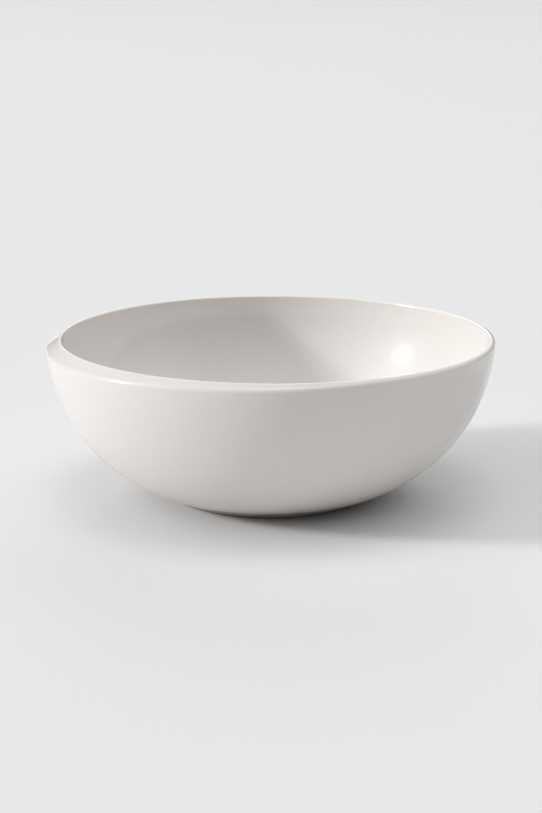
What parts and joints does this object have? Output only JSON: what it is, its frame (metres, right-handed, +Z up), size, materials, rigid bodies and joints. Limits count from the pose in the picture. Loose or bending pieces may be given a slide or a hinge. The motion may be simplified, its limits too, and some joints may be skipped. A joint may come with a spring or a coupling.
{
  "type": "serving bowl",
  "caption": "Wide round porcelain serving bowl with a deep curved wall, an off-centre opening that makes a crescent lip, and a low foot ring.",
  "frame": {"origin": "on the ground at the centre of the foot ring, on the axis of the outside wall", "axes": "+Z up; +X towards the narrow side of the lip, -X towards its broad sloping side; the bowl is the same on +Y and -Y"},
  "size_m": [0.2846, 0.2848, 0.1025],
  "materials": {
    "bare_clay": "fired porcelain left bare, matte and very slightly rough",
    "glaze": "clear glossy glaze over warm white porcelain"
  },
  "bodies": {
    "root": {"porcelain_body": "bare_clay", "glaze_coat": "glaze", "base_glaze": "glaze"}
  },
  "joints": []
}
